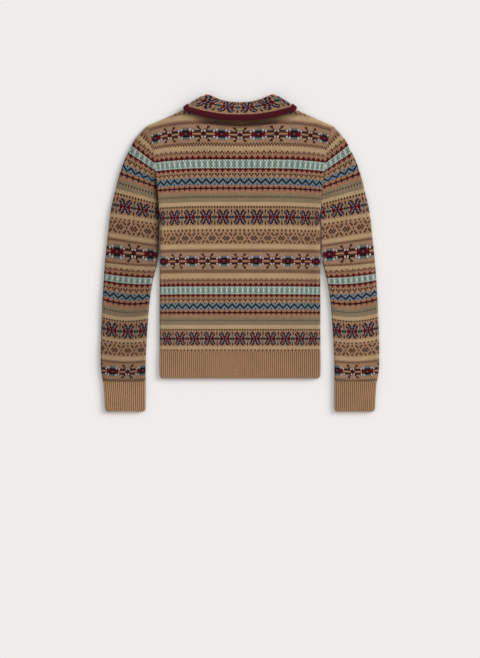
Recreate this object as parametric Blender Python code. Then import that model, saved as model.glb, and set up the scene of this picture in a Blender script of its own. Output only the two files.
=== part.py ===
"""A long-sleeved patterned knit pullover, laid flat with its back up.

Millimetres in the tables below, metres in the scene.  X runs across the
garment, Y from hem to collar, Z up from the table.  The origin is under the
middle of its outline.  "half" is a distance from the centre line and "up" is
a distance along Y.  The wearer's left is at -X.
"""
import math

import bmesh
import bpy
import numpy as np

MM = 0.001

# ---------------------------------------------------------------- sizes
WALL = 2.6            # knitted fabric
SEAM = 0.3            # pieces stop this short of each other
FLAT_HEIGHT = 8.4     # back and front lying on each other
EDGE_ROUND = 6.0      # how far in from a fold or side seam the cloth rounds
MID = FLAT_HEIGHT / 2
CORE = MID - WALL     # half of the space left inside

BODY_HALF = 169.0
HEM_BOTTOM_UP = -263.7
HEM_TOP_UP = -207.0
UNDERARM_UP = 84.0
SHOULDER_POINT = (195.5, 266.4)
NECK_POINT = (95.0, 309.5)

HEM_RIBS = 78
CUFF_RIBS = 19
RIB_DEPTH = 0.8
CUFF_TOP_UP = -271.2
CUFF_BOTTOM_UP = -333.4

COLLAR_WALL = 2.4
COLLAR_LIFT = 3.5     # the front fall lies under the body and raises it
COLLAR_SAG = 5.0      # the back of the collar sinks in the neck opening
STAND_LOW = 1.7       # heights of the collar's layers over the mid level
FALL_LOW = 4.5

# how far the collar's layers reach round the side of the neck: share of
# their height over the middle, and more
TURN_REACH = {
    "seam": (1.0, 1.9),
    "fold": (0.5, 0.0),
    "edge": (0.9, 0.0),
    "rim": (0.8, 0.9),
}

# armhole edge: up, half
ARMHOLE = (
    (84.0, 169.0),
    (110.0, 171.0),
    (140.0, 173.5),
    (180.0, 178.0),
    (215.0, 182.5),
    (238.0, 185.5),
    (256.0, 190.0),
    (266.4, 195.5),
)

# columns of the panels: half at the hem, half at the top, back neck up,
# front neck up (None along the shoulder)
COLUMNS = (
    (0.0, 0.0, 290.0, 272.0),
    (26.0, 30.0, 290.6, 272.8),
    (50.0, 58.0, 293.0, 277.0),
    (72.0, 78.0, 297.0, 285.5),
    (90.0, 92.6, 304.0, 304.0),
    (100.0, 95.0, 309.5, 309.5),
    (118.0, 115.0, None, None),
    (136.0, 138.0, None, None),
    (151.0, 162.0, None, None),
    (163.0, 182.0, None, None),
    (166.0, 189.5, None, None),
    (168.2, 193.7, None, None),
    (169.0, 195.5, None, None),
)

# rows of the panels, up along the side and armhole
ROWS = (-206.7, -160.0, -115.0, -70.0, -25.0, 20.0, 60.0, 84.0, 84.8, 87.0, 90.0,
        110.0, 140.0, 175.0, 210.0, 238.0, 259.9, 263.1, 265.5, 266.4)

# sleeve sections, from the armhole to the cuff: outer half, outer up,
# inner half, inner up
SLEEVE = (
    (195.9, 266.2, 169.4, 84.0),
    (207.5, 253.6, 169.7, 74.0),
    (221.6, 236.8, 169.8, 62.0),
    (238.8, 203.2, 170.0, 43.0),
    (252.0, 169.6, 170.2, 22.0),
    (262.5, 129.0, 170.8, -2.0),
    (272.2, 85.6, 174.6, -26.0),
    (279.0, 28.0, 183.5, -61.0),
    (285.2, -37.0, 190.5, -108.0),
    (289.6, -110.0, 195.0, -165.0),
    (292.6, -185.0, 197.8, -218.0),
    (292.4, -240.0, 198.4, -250.0),
    (288.0, -270.9, 198.4, -270.9),
)

# cuff sections: up, outer half, inner half
CUFF = (
    (-271.2, 287.0, 198.6),
    (-300.0, 285.0, 198.6),
    (-329.5, 283.6, 198.8),
    (-333.4, 281.8, 200.4),
)

# hem rib sections: up, half
HEM = (
    (-207.0, 169.0),
    (-235.0, 169.4),
    (-260.0, 168.8),
    (-263.7, 167.2),
)

# collar, from the centre back to the side: seam, fold, edge of the knitted
# fall and edge of the trim, each as half, up
COLLAR_BACK = (
    (0.0, 290.0, 0.0, 316.4, 0.0, 289.3, 0.0, 277.3),
    (30.0, 290.6, 22.0, 318.0, 36.0, 290.8, 38.0, 279.0),
    (58.0, 293.0, 42.0, 322.5, 72.0, 296.6, 75.0, 285.0),
    (78.0, 297.0, 57.0, 328.4, 92.0, 301.6, 98.0, 291.8),
    (92.6, 304.0, 70.0, 331.1, 106.2, 304.8, 116.1, 297.8),
)

# and on from the side to the centre front, which is underneath
COLLAR_FRONT = (
    (92.6, 304.0, 70.0, 331.1, 106.2, 304.8, 116.1, 297.8),
    (78.0, 285.5, 59.0, 315.5, 90.0, 286.5, 96.0, 275.5),
    (58.0, 277.0, 42.0, 306.0, 66.0, 275.5, 69.5, 264.3),
    (30.0, 272.8, 22.0, 299.6, 35.0, 270.8, 37.0, 259.0),
    (0.0, 272.0, 0.0, 298.0, 0.0, 269.6, 0.0, 257.6),
)
COLLAR_BACK_STEPS = 12
COLLAR_FRONT_STEPS = 8
SLEEVE_SECTIONS = 18

# the trim's thickness, from the fall's edge to its own rim: share, thickness
TRIM_SHAPE = (
    (0.0, 2.0),
    (0.12, 2.9),
    (0.5, 3.2),
    (0.88, 2.7),
    (1.0, 1.0),
)
TURN_ANGLES = (90.0, 60.0, 30.0, 0.0, -30.0, -60.0, -90.0)

# broad soft folds in the back: top and bottom (half, up), reach, depth
FOLDS = (
    ((131.0, 150.0), (142.0, -150.0), 26.0, 1.1),
    ((-122.0, 170.0), (-74.0, 105.0), 24.0, 0.8),
)

# colours of the pieces: red, green, blue, roughness
COLOURS = {
    "back": (0.36, 0.25, 0.16, 0.95),
    "front": (0.36, 0.25, 0.16, 0.95),
    "sleeve_left": (0.35, 0.25, 0.17, 0.95),
    "sleeve_right": (0.35, 0.25, 0.17, 0.95),
    "hem_rib": (0.31, 0.20, 0.12, 0.95),
    "cuff_left": (0.31, 0.20, 0.12, 0.95),
    "cuff_right": (0.31, 0.20, 0.12, 0.95),
    "collar": (0.38, 0.26, 0.17, 0.95),
    "collar_trim": (0.08, 0.01, 0.03, 0.95),
}


# ---------------------------------------------------------------- helpers
def smooth(t):
    """Ease from 0 to 1."""
    t = np.clip(t, 0.0, 1.0)
    return t * t * (3 - 2 * t)


def unit(v):
    v = np.asarray(v, dtype=float)
    return v / np.linalg.norm(v)


def through(at, stations, values):
    """A smooth curve through the values at the stations, read at `at`."""
    s = np.asarray(stations, dtype=float)
    v = np.asarray(values, dtype=float)
    slope = np.gradient(v, s, axis=0)
    k = int(np.clip(np.searchsorted(s, at) - 1, 0, len(s) - 2))
    step = s[k + 1] - s[k]
    t = (at - s[k]) / step
    return ((2 * t**3 - 3 * t**2 + 1) * v[k] + (t**3 - 2 * t**2 + t) * step * slope[k]
            + (3 * t**2 - 2 * t**3) * v[k + 1] + (t**3 - t**2) * step * slope[k + 1])


def armhole_half(up):
    if up <= UNDERARM_UP:
        return BODY_HALF
    return float(through(up, [a[0] for a in ARMHOLE], [a[1] for a in ARMHOLE]))


def rounding(s):
    """Height share of a rounded edge, a distance s in from its outline."""
    return math.sqrt(max(0.0, 1 - (1 - min(s, EDGE_ROUND) / EDGE_ROUND) ** 2))


SHOULDER_DIR = unit(np.subtract(SHOULDER_POINT, NECK_POINT))
SHOULDER_OUT = np.array((-SHOULDER_DIR[1], SHOULDER_DIR[0]))


def from_fold(half, up):
    """Distance and inward direction from the side seam or shoulder, right side."""
    p = np.array((half, up))
    seam = np.array((BODY_HALF, min(up, UNDERARM_UP)))
    along = np.clip(np.dot(p - NECK_POINT, SHOULDER_DIR), 0,
                    np.linalg.norm(np.subtract(SHOULDER_POINT, NECK_POINT)))
    ridge = np.asarray(NECK_POINT) + along * SHOULDER_DIR
    best = None
    for foot, inward in ((seam, np.array((-1.0, 0.0))), (ridge, -SHOULDER_OUT)):
        gap = np.linalg.norm(p - foot)
        if best is None or gap < best[0]:
            best = (gap, (p - foot) / gap if gap > 0.01 else inward)
    return best


def lift(half, up):
    """The collar's front fall, lying underneath, raises both panels."""
    q = math.hypot(half / 125.0, (up - 315.0) / 105.0)
    return COLLAR_LIFT * float(1 - smooth((q - 1.0) / 0.35))


def sag(half, up):
    """How far the back of the collar sinks in the neck opening."""
    return COLLAR_SAG * float(smooth((up - 286.0) / 30.0) * smooth((64.0 - abs(half)) / 34.0))


def dip(half, up):
    """Depth of the soft folds at a point of the back."""
    depth = 0.0
    for top, low, reach, most in FOLDS:
        a = np.asarray(top)
        run = np.asarray(low) - a
        share = np.dot((half, up) - a, run) / np.dot(run, run)
        off = np.linalg.norm((half, up) - a - np.clip(share, 0, 1) * run)
        depth += most * float(smooth(1 - off / reach))
    return depth


def add_piece(name, points, faces):
    """One closed solid, in metres, with its own material."""
    mesh = bpy.data.meshes.new(name)
    mesh.from_pydata([tuple(c * MM for c in p) for p in points], [], faces)
    bm = bmesh.new()
    bm.from_mesh(mesh)
    bmesh.ops.triangulate(bm, faces=bm.faces[:])
    bmesh.ops.recalc_face_normals(bm, faces=bm.faces[:])
    bm.to_mesh(mesh)
    bm.free()
    mesh.shade_smooth()
    mesh.set_sharp_from_angle(angle=math.radians(40))
    piece = bpy.data.objects.new(name, mesh)
    garment.objects.link(piece)
    red, green, blue, rough = COLOURS[name]
    material = bpy.data.materials.new(name)
    material.use_nodes = True
    skin = material.node_tree.nodes["Principled BSDF"]
    skin.inputs["Base Color"].default_value = (red, green, blue, 1)
    skin.inputs["Roughness"].default_value = rough
    skin.inputs["Metallic"].default_value = 0.0
    mesh.materials.append(material)
    return piece


def cloth(name, outside, inside, closed):
    """A wall between two skins, each a list of rows of points.

    The rows are rings when `closed`, and open strips otherwise.
    """
    rows, count = len(outside), len(outside[0])
    points = [p for row in outside for p in row] + [p for row in inside for p in row]
    back = rows * count
    faces = []
    last = count if closed else count - 1
    for j in range(rows - 1):
        for i in range(last):
            a, b = j * count + i, j * count + (i + 1) % count
            c, d = b + count, a + count
            faces.append((a, b, c, d))
            faces.append((back + d, back + c, back + b, back + a))
    for i in range(last):
        n = (i + 1) % count
        top = (rows - 1) * count
        faces.append((i, i + back, n + back, n))
        faces.append((top + n, top + n + back, top + i + back, top + i))
    if not closed:
        for j in range(rows - 1):
            a, b = j * count, (j + 1) * count
            faces.append((a, b, b + back, a + back))
            faces.append((b + count - 1, a + count - 1, a + count - 1 + back, b + count - 1 + back))
    return add_piece(name, points, faces)


# ---------------------------------------------------------------- panels
def panel_point(half, up, side):
    """Outer and inner skin of the back (side 1) or front (side -1)."""
    x = abs(half)
    sign = 1.0 if half >= 0 else -1.0
    away, inward = from_fold(x, up)
    share = rounding(away)
    shift = WALL * max(0.0, 1 - away / EDGE_ROUND) * inward
    level = MID + lift(half, up)
    if side > 0:
        level -= (dip(half, up) + sag(half, up)) * share
    gap = SEAM / 2
    outer = level + side * (gap + (MID - gap) * share)
    inner = level + side * (gap + (CORE - gap) * share)
    return (half, up, outer), (sign * (x + shift[0]), up + shift[1], inner)


def panel(name, side):
    top_half = SHOULDER_POINT[0]
    outside, inside = [], []
    for row in ROWS:
        ease = float(smooth((row - UNDERARM_UP) / (250.0 - UNDERARM_UP)))
        width = armhole_half(row)
        out_row, in_row = [], []
        for sign, column in [(-1, c) for c in COLUMNS[:0:-1]] + [(1, c) for c in COLUMNS]:
            at_hem, at_top, back_neck, front_neck = column
            share = (1 - ease) * at_hem / BODY_HALF + ease * at_top / top_half
            neck = back_neck if side > 0 else front_neck
            if neck is None:
                neck = SHOULDER_POINT[1] + ((top_half - at_top) * -SHOULDER_DIR[1]
                                            / SHOULDER_DIR[0])
            up = row + ease * (neck - SHOULDER_POINT[1])
            out, inn = panel_point(sign * share * width, up, side)
            out_row.append(out)
            in_row.append(inn)
        outside.append(out_row)
        inside.append(in_row)
    return cloth(name, outside, inside, closed=False)


# ---------------------------------------------------------------- tubes
ARC = (0.0, 30.0, 60.0, 90.0)


def flat_ring(outer, inner, bow, middle=6):
    """Skins of a flattened tube's ring between two ends, seen from above.

    `bow` shifts a point of the ring, given its share of the way across.
    """
    outer, inner = np.asarray(outer), np.asarray(inner)
    length = np.linalg.norm(inner - outer)
    ends = [EDGE_ROUND * (1 - math.cos(math.radians(a))) for a in ARC]
    between = list(np.linspace(EDGE_ROUND, length - EDGE_ROUND, middle + 1))[1:-1]
    steps = ends + between + [length - e for e in reversed(ends)]
    top_out, top_in, low_out, low_in = [], [], [], []
    for s in steps:
        edge = min(s, length - s)
        height = rounding(edge)
        shift = WALL * max(0.0, 1 - edge / EDGE_ROUND) * (1 if s < length / 2 else -1)
        for at, tops, lows, size in ((s, top_out, low_out, MID), (s + shift, top_in, low_in, CORE)):
            x, y = outer + (inner - outer) * at / length + bow(at / length)
            tops.append((x, y, MID + size * height))
            lows.append((x, y, MID - size * height))
    return top_out + low_out[-2:0:-1], top_in + low_in[-2:0:-1]


def armhole_bow(share):
    """How far the armhole's edge leaves the straight line between its ends."""
    out_half, out_up, in_half, in_up = SLEEVE[0]
    up = out_up + (in_up - out_up) * share
    return armhole_half(up) + 0.4 - (out_half + (in_half - out_half) * share)


def sleeve(name, sign):
    outside, inside = [], []
    stations = range(len(SLEEVE))
    for k in range(SLEEVE_SECTIONS + 1):
        at = (len(SLEEVE) - 1) * k / SLEEVE_SECTIONS
        section = through(at, stations, SLEEVE)
        fade = max(0.0, 1 - at / 2)

        def bow(share):
            return np.array((fade * armhole_bow(share), 0.0))

        out_ring, in_ring = flat_ring(section[:2], section[2:], bow)
        outside.append([(sign * x, y, z) for x, y, z in out_ring])
        inside.append([(sign * x, y, z) for x, y, z in in_ring])
    return cloth(name, outside, inside, closed=True)


def rib_ring(low_half, high_half, up, ribs, start):
    """Skins of a ribbed ring across the garment: ribs on top, flat below."""
    width = high_half - low_half
    ends = [EDGE_ROUND * (1 - math.cos(math.radians(a))) for a in ARC[:-1]]
    count = 2 * ribs
    first = ends[-1] + 1.5
    ribbed = [first + (width - 2 * first) * i / (count - 1) for i in range(count)]
    steps = ends + ribbed + [width - e for e in reversed(ends)]
    outside, inside = [], []
    for i, s in enumerate(steps):
        edge = min(s, width - s)
        height = rounding(edge)
        shift = WALL * max(0.0, 1 - edge / EDGE_ROUND) * (1 if s < width / 2 else -1)
        in_rib = len(ends) <= i < len(ends) + count
        raised = (RIB_DEPTH / 2 if i % 2 else -RIB_DEPTH / 2) * start if in_rib else 0.0
        outside.append((low_half + s, up, MID + MID * height + raised))
        inside.append((low_half + s + shift, up, MID + CORE * height))
    below = ends + list(np.linspace(EDGE_ROUND, width - EDGE_ROUND, 9)) + [width - e
                                                                          for e in reversed(ends)]
    low_out = [(low_half + s, up, MID - MID * rounding(min(s, width - s))) for s in below]
    low_in = []
    for s in below:
        edge = min(s, width - s)
        shift = WALL * max(0.0, 1 - edge / EDGE_ROUND) * (1 if s < width / 2 else -1)
        low_in.append((low_half + s + shift, up, MID - CORE * rounding(edge)))
    return outside + low_out[-2:0:-1], inside + low_in[-2:0:-1]


def hem_rib():
    outside, inside = [], []
    for up, half in HEM:
        out_ring, in_ring = rib_ring(-half, half, up, HEM_RIBS, 1)
        outside.append(out_ring)
        inside.append(in_ring)
    return cloth("hem_rib", outside, inside, closed=True)


def cuff(name, sign):
    outside, inside = [], []
    for up, out_half, in_half in CUFF:
        out_ring, in_ring = rib_ring(in_half, out_half, up, CUFF_RIBS, 1)
        outside.append([(sign * x, y, z) for x, y, z in out_ring])
        inside.append([(sign * x, y, z) for x, y, z in in_ring])
    return cloth(name, outside, inside, closed=True)


# ---------------------------------------------------------------- collar
def collar_row(table, at):
    """The four plan points at a station: the seam follows the panel's straight edges."""
    row = through(at, range(len(table)), table)
    low = min(int(at), len(table) - 2)
    for k in (0, 1):
        row[k] = table[low][k] + (table[low + 1][k] - table[low][k]) * (at - low)
    return row


def collar_stations():
    """Round the neck: side of the body, turn angle and the four plan points."""
    back = [collar_row(COLLAR_BACK, at)
            for at in np.linspace(0, len(COLLAR_BACK) - 1, COLLAR_BACK_STEPS + 1)]
    front = [collar_row(COLLAR_FRONT, at)
             for at in np.linspace(0, len(COLLAR_FRONT) - 1, COLLAR_FRONT_STEPS + 1)]
    half_round = [(90.0, row) for row in back[:-1]]
    half_round += [(angle, back[-1]) for angle in TURN_ANGLES]
    half_round += [(-90.0, row) for row in front[1:]]
    right = [(1.0, angle, row) for angle, row in half_round]
    left = [(-1.0, angle, row) for angle, row in half_round[-2:0:-1]]
    return right + left


def place(sign, angle, plan, level, reach):
    """A point of the collar from its plan position and height over the middle."""
    turn = math.radians(angle)
    share, more = reach
    out = SHOULDER_OUT * (level * share + more) * max(0.0, math.cos(turn))
    x, y = plan[0] + out[0], plan[1] + out[1]
    z = MID + COLLAR_LIFT + level * math.sin(turn)
    if angle > 80:
        z -= sag(x, y)
    return (sign * x, y, z)


def between(one, other, share):
    """A turn's reach part of the way from one line of the collar to another."""
    return tuple(a + (b - a) * share for a, b in zip(TURN_REACH[one], TURN_REACH[other]))


def collar_section(row):
    """Plan point, level and reach of both skins, from the neck seam to the fall's edge."""
    seam, fold, edge = (np.array(row[i:i + 2]) for i in (0, 2, 4))
    out = unit(fold - (seam + edge) / 2)
    seam = seam + 0.35 * unit(fold - seam)
    bend = (STAND_LOW + FALL_LOW + COLLAR_WALL) / 2
    big = FALL_LOW + COLLAR_WALL - bend
    small = FALL_LOW - bend
    centre = fold - big * out
    low_skin, high_skin = [], []
    for share in (0.0, 0.5):
        at, reach = seam + (centre - seam) * share, between("seam", "fold", share)
        low_skin.append((at, STAND_LOW, reach))
        high_skin.append((at, STAND_LOW + COLLAR_WALL, reach))
    for angle in (-90, -45, 0, 45, 90):
        c, s = math.cos(math.radians(angle)), math.sin(math.radians(angle))
        low_skin.append((centre + out * big * c, bend + big * s, TURN_REACH["fold"]))
        high_skin.append((centre + out * small * c, bend + small * s, TURN_REACH["fold"]))
    for share in (0.5, 1.0):
        at, reach = centre + (edge - centre) * share, between("fold", "edge", share)
        low_skin.append((at, FALL_LOW + COLLAR_WALL, reach))
        high_skin.append((at, FALL_LOW, reach))
    return low_skin, high_skin


def trim_section(row):
    """Plan point, level and reach of both skins across the rounded trim band."""
    edge, rim = np.array(row[4:6]), np.array(row[6:8])
    edge = edge + 0.35 * unit(rim - edge)
    under, over = [], []
    for share, thick in TRIM_SHAPE:
        at, reach = edge + (rim - edge) * share, between("edge", "rim", share)
        under.append((at, FALL_LOW, reach))
        over.append((at, FALL_LOW + thick, reach))
    return over, under


def neck_ring(name, section):
    stations = collar_stations()
    skins = [[], []]
    for sign, angle, row in stations:
        for skin, points in zip(skins, section(row)):
            skin.append([place(sign, angle, *point) for point in points])
    outside, inside = (list(map(list, zip(*skin))) for skin in skins)
    return cloth(name, outside, inside, closed=True)


# ---------------------------------------------------------------- garment
for old in list(bpy.data.objects):
    bpy.data.objects.remove(old, do_unlink=True)

garment = bpy.data.collections.new("patterned_pullover")
bpy.context.scene.collection.children.link(garment)

panel("back", 1)
panel("front", -1)
sleeve("sleeve_left", -1)
sleeve("sleeve_right", 1)
hem_rib()
cuff("cuff_left", -1)
cuff("cuff_right", 1)
neck_ring("collar", collar_section)
neck_ring("collar_trim", trim_section)
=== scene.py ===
import math

import bmesh
import bpy
import numpy as np
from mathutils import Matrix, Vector


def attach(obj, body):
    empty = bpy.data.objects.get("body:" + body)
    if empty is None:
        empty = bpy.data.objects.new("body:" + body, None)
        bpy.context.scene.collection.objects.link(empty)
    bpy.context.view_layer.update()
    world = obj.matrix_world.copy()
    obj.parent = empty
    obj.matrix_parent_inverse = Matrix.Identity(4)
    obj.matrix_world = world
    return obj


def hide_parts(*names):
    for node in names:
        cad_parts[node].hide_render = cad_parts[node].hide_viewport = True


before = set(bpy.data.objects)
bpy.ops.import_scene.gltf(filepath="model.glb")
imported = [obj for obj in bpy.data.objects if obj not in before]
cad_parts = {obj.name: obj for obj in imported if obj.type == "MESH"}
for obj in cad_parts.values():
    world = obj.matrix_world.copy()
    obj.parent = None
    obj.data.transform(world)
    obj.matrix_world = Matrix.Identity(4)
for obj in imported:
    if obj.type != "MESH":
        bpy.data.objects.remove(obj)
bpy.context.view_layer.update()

MM = 0.001
SEED = 12

# ---------------------------------------------------------------- sizes
WALL = 2.6                # thickness of the knitted cloth
SEAM = 0.3                # gap between the inner skins at the sides
FLAT_HEIGHT = 8.4         # of the garment as it lies
ON_FLOOR = 0.05           # the front never lies lower than this
EDGE_ROUND = 6.0          # how far in from a side its edge is rounded
MID = FLAT_HEIGHT / 2
CORE = MID - WALL

BODY_HALF = 169.0
UNDERARM_UP = 84.0
ARMHOLE_GAP = 0.4         # between the panels and the sleeves
SEAM_PULL = 4.0           # the armhole's seam draws the cloth in over this much,
SEAM_DIP, CAP_DIP = 0.5, 0.4          # by this much on the panels and the sleeves
SHOULDER_EASE_UP = 250.0  # the panels' rows bend towards the shoulders up to here
SHOULDER_POINT = (195.5, 266.4)
NECK_POINT = (95.0, 309.5)

HEM_RIBS = 78
CUFF_RIBS = 19
RIB_DEPTH = 1.5
RIB_ROW = 2.75            # height of one knitted row in the ribs
FIRST_RIB = EDGE_ROUND * 0.5 + 1.5    # the ribs start this far in from the side
TOP_SUNK, UNDER_SUNK = 0.35, 0.85     # the yarn of laid stitches sinks in this much

COLLAR_WALL = 2.4
COLLAR_LIFT = 3.5         # the front fall lifts the panels, and the neck, this much
COLLAR_SAG = 5.0          # and the back sinks this much in the neck opening
STAND_LOW = 1.7           # undersides of the stand and of the fall, over the middle
FALL_LOW = 4.5
# how far a turn at the shoulder reaches out: share of its height, and more
TURN_REACH = {"seam": (1.0, 1.9), "fold": (0.5, 0.0), "edge": (0.9, 0.0), "rim": (0.8, 0.9)}

# armhole edge: up, half
ARMHOLE = (
    (84.0, 169.0), (110.0, 171.0), (140.0, 173.5), (180.0, 178.0),
    (215.0, 182.5), (238.0, 185.5), (256.0, 190.0), (266.4, 195.5),
)

# panel columns: half at the hem, half at the top, back neck up, front neck up
COLUMNS = (
    (0.0, 0.0, 290.0, 272.0), (26.0, 30.0, 290.6, 272.8), (50.0, 58.0, 293.0, 277.0),
    (72.0, 78.0, 297.0, 285.5), (90.0, 92.6, 304.0, 304.0), (100.0, 95.0, 309.5, 309.5),
    (118.0, 115.0, None, None), (136.0, 138.0, None, None), (151.0, 162.0, None, None),
    (163.0, 182.0, None, None), (166.0, 189.5, None, None), (168.2, 193.7, None, None),
    (169.0, 195.5, None, None),
)
PANEL_LOW_UP = -206.7
PANEL_TOP_UP = 266.4
PANEL_ROW = 3.4           # spacing of the panels' mesh rows
PANEL_COLUMN = 3.4        # and of their columns

# sleeve sections: outer half, outer up, inner half, inner up
SLEEVE = (
    (195.9, 266.2, 169.4, 84.0), (207.5, 253.6, 169.7, 74.0), (221.6, 236.8, 169.8, 62.0),
    (238.8, 203.2, 170.0, 43.0), (252.0, 169.6, 170.2, 22.0), (262.5, 129.0, 170.8, -2.0),
    (272.2, 85.6, 174.6, -26.0), (279.0, 28.0, 183.5, -61.0), (285.2, -37.0, 190.5, -108.0),
    (289.6, -110.0, 195.0, -165.0), (292.6, -185.0, 197.8, -218.0),
    (292.4, -240.0, 198.4, -250.0), (288.0, -270.9, 198.4, -270.9),
)
SLEEVE_SECTIONS = 140
SLEEVE_STEPS = 34         # mesh steps between the rounded edges
CUFF_SEAM_UP = -271.0
EDGE_TURNS = (0.0, 18.0, 36.0, 54.0, 72.0, 90.0)    # of the sleeves' rounded edges
RIB_EDGE_TURNS = (0.0, 20.0, 40.0, 60.0)            # and of the ribbed bands'

# cuff sections: up, outer half, inner half; hem sections: up, half
CUFF = ((-271.2, 287.0, 198.6), (-300.0, 285.0, 198.6), (-326.5, 283.8, 198.7),
        (-330.6, 282.8, 199.7), (-332.6, 281.4, 201.1), (-333.4, 279.6, 202.9))
HEM = ((-207.0, 169.0), (-235.0, 169.4), (-256.5, 169.0), (-260.6, 168.0),
       (-262.8, 166.2), (-263.7, 163.6))

# collar: seam, fold, edge of the fall and edge of the trim, as half, up
COLLAR_BACK = (
    (0.0, 290.0, 0.0, 316.4, 0.0, 289.3, 0.0, 277.3),
    (30.0, 290.6, 22.0, 318.0, 36.0, 290.8, 38.0, 279.0),
    (58.0, 293.0, 42.0, 322.5, 72.0, 296.6, 75.0, 285.0),
    (78.0, 297.0, 57.0, 328.6, 92.0, 301.6, 98.0, 291.8),
    (88.0, 301.8, 69.5, 332.2, 101.4, 304.1, 110.0, 295.6),
    (92.6, 304.0, 78.5, 327.6, 106.2, 304.8, 116.1, 297.8),
)
COLLAR_FRONT = (
    (92.6, 304.0, 78.5, 327.6, 106.2, 304.8, 116.1, 297.8),
    (78.0, 285.5, 59.0, 315.5, 90.0, 286.5, 96.0, 275.5),
    (58.0, 277.0, 42.0, 306.0, 66.0, 275.5, 69.5, 264.3),
    (30.0, 272.8, 22.0, 299.6, 35.0, 270.8, 37.0, 259.0),
    (0.0, 272.0, 0.0, 298.0, 0.0, 269.6, 0.0, 257.6),
)
COLLAR_BACK_STEPS = 48
COLLAR_FRONT_STEPS = 32
COLLAR_TURN_STEPS = 12
COLLAR_RISE = 2.6         # the back fall stands off the panel this much at its edge
COLLAR_HOLLOW = 2.2       # and the panel sinks this much under it
COLLAR_CROWN = 0.35       # the fall's middle stands this much over its ends
BAND_LAP = 0.35           # collar and trim start this far from their seams
TRIM_PLUMP, TRIM_FLAT = 0.45, 0.93    # the back of the trim is plumper, its front flatter

# the trim's thickness, from the fall's edge to its own rim
TRIM_SHAPE = ((0.0, 2.0), (0.06, 2.6), (0.15, 3.0), (0.3, 3.25), (0.5, 3.3), (0.7, 3.15),
              (0.85, 2.8), (0.95, 2.0), (1.0, 1.0))

# folds and waves of the back: one end, other end (half, up), reach, depth
BACK_FOLDS = (
    ((131.0, 150.0), (142.0, -150.0), 26.0, 1.5),
    ((-122.0, 170.0), (-74.0, 105.0), 24.0, 1.1),
    ((136.0, 60.0), (138.0, -60.0), 13.0, 1.2),
    ((160.0, 120.0), (160.0, -70.0), 15.0, -1.8),
    ((-166.0, 150.0), (-161.0, -20.0), 20.0, -2.0),
    ((-157.0, -58.0), (-160.0, -190.0), 14.0, 1.2),
    ((-150.0, 70.0), (-120.0, 20.0), 18.0, 0.7),
    ((60.0, -120.0), (96.0, -196.0), 20.0, 0.8),
    ((-40.0, -150.0), (-60.0, -200.0), 18.0, 0.7),
    ((20.0, 240.0), (64.0, 180.0), 22.0, 0.6),
    ((165.0, 240.0), (120.0, 196.0), 20.0, 0.8),
)
FRONT_FOLDS = (
    ((-120.0, 120.0), (-134.0, -140.0), 26.0, 1.0),
    ((118.0, 150.0), (80.0, 90.0), 24.0, 0.7),
    ((0.0, 250.0), (40.0, 180.0), 26.0, 0.6),
    ((60.0, -110.0), (84.0, -190.0), 20.0, 0.5),
    ((-150.0, 60.0), (-152.0, -50.0), 15.0, -0.6),
)
FRONT_DEEPEST, FRONT_SHARE = 0.9, 0.8
SLEEVE_DEEPEST = 3.6
# folds of the sleeves, on the wearer's left (-X) and right (+X)
SLEEVE_FOLDS = {
    "left": (
        ((180.0, 158.0), (171.0, 84.0), 21.0, 3.4),
        ((170.0, 84.0), (171.0, -8.0), 24.0, 3.6),
        ((252.0, 140.0), (228.0, 90.0), 20.0, 0.6),
        ((270.0, 20.0), (222.0, -20.0), 18.0, 0.5),
        ((280.0, -130.0), (236.0, -150.0), 16.0, 0.5),
        ((256.0, -238.0), (246.0, -268.0), 13.0, 0.6),
        ((218.0, -236.0), (222.0, -268.0), 12.0, 0.5),
    ),
    "right": (
        ((180.0, 158.0), (171.0, 60.0), 12.0, 1.0),
        ((206.0, 186.0), (196.0, 118.0), 22.0, 1.0),
        ((250.0, 160.0), (262.0, 96.0), 20.0, -0.7),
        ((262.0, 30.0), (216.0, -6.0), 20.0, 0.6),
        ((284.0, -90.0), (240.0, -120.0), 18.0, 0.5),
        ((250.0, -236.0), (244.0, -268.0), 13.0, 0.6),
        ((272.0, -236.0), (268.0, -266.0), 11.0, 0.5),
    ),
}

# ---------------------------------------------------------------- knitting
# rows of the body, counted downwards, and their height: row, up
BODY_ROWS = (
    (-12, 305.2), (0, 270.6), (1, 267.0), (16, 226.6), (17, 222.9),
    (20, 213.3), (22, 207.0), (23, 204.2), (26, 195.4), (32, 177.6), (35, 169.8), (36, 167.3),
    (38, 160.3), (39, 157.4), (44, 142.9), (50, 125.1), (52, 119.4),
    (53, 115.4), (56, 106.6), (59, 98.5), (60, 94.1),
    (61, 90.8), (72, 59.3), (73, 57.0), (76, 49.3), (77, 45.3), (78, 41.7), (85, 19.8),
    (86, 18.2), (89, 9.1), (90, 7.0), (91, 3.7), (106, -38.4),
    (107, -43.2), (110, -53.9), (112, -60.2), (113, -62.7), (116, -70.7), (122, -87.0),
    (125, -94.2), (126, -95.9), (128, -102.2), (129, -105.3), (134, -119.0), (140, -135.3),
    (146, -151.7), (149, -159.9), (150, -163.5), (151, -166.0), (162, -195.2), (163, -196.2),
    (166, -203.2), (168, -209.3), (176, -231.5),
)
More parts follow.
